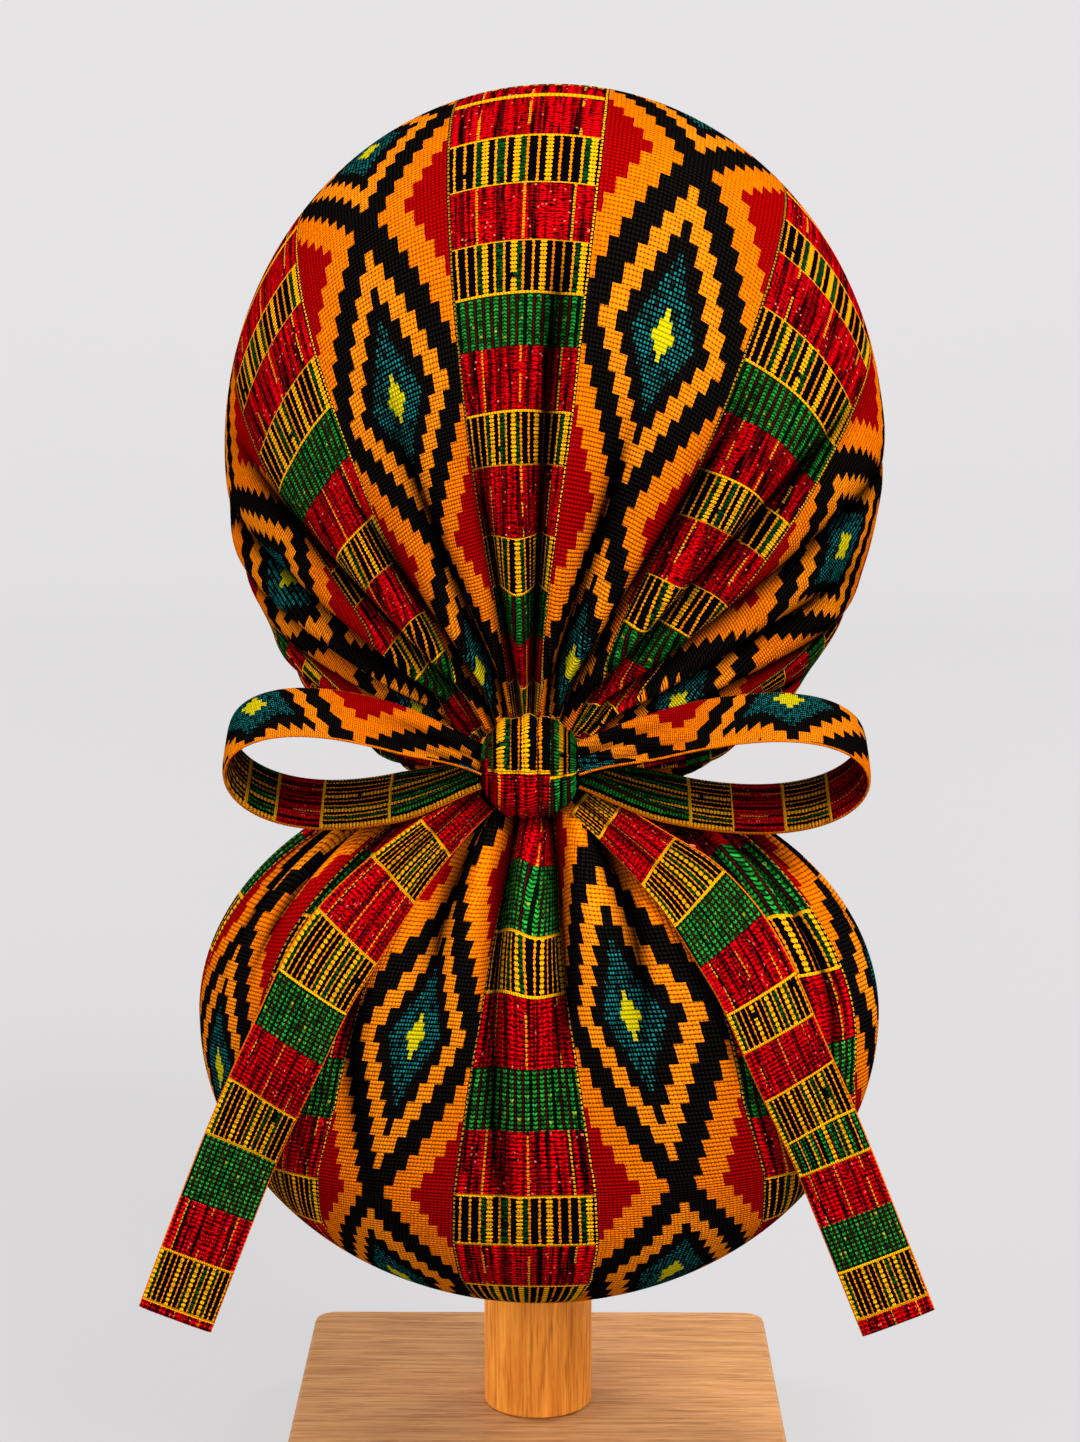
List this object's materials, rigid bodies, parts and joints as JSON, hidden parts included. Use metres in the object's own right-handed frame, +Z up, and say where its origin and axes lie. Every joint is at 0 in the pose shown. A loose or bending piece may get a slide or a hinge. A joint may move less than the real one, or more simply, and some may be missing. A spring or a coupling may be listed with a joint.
{
  "type": "ponytail scrub cap on a wooden stand",
  "caption": "Bright woven-stripe print cap with a gathered hair pouch and a bow tied at its neck, on a plain wooden post and square base.",
  "frame": {"origin": "middle of the underside of the stand's base", "axes": "+Z up; the rear of the cap, with its bow and hanging pouch, faces -Y, and the brow faces +Y"},
  "size_m": [0.2473, 0.2651, 0.483],
  "materials": {
    "crown_cloth": "printed cotton, matte",
    "pouch_cloth": "printed cotton, matte",
    "tie_cloth": "printed cotton, matte",
    "post_wood": "smooth, lightly oiled",
    "base_wood": "smooth, lightly oiled"
  },
  "bodies": {
    "root": {"crown": "crown_cloth", "pouch": "pouch_cloth", "tie_band": "tie_cloth", "knot": "tie_cloth", "loop_left": "tie_cloth", "loop_right": "tie_cloth", "tail_left": "tie_cloth", "tail_right": "tie_cloth", "stand_post": "post_wood", "stand_base": "base_wood"}
  },
  "joints": []
}
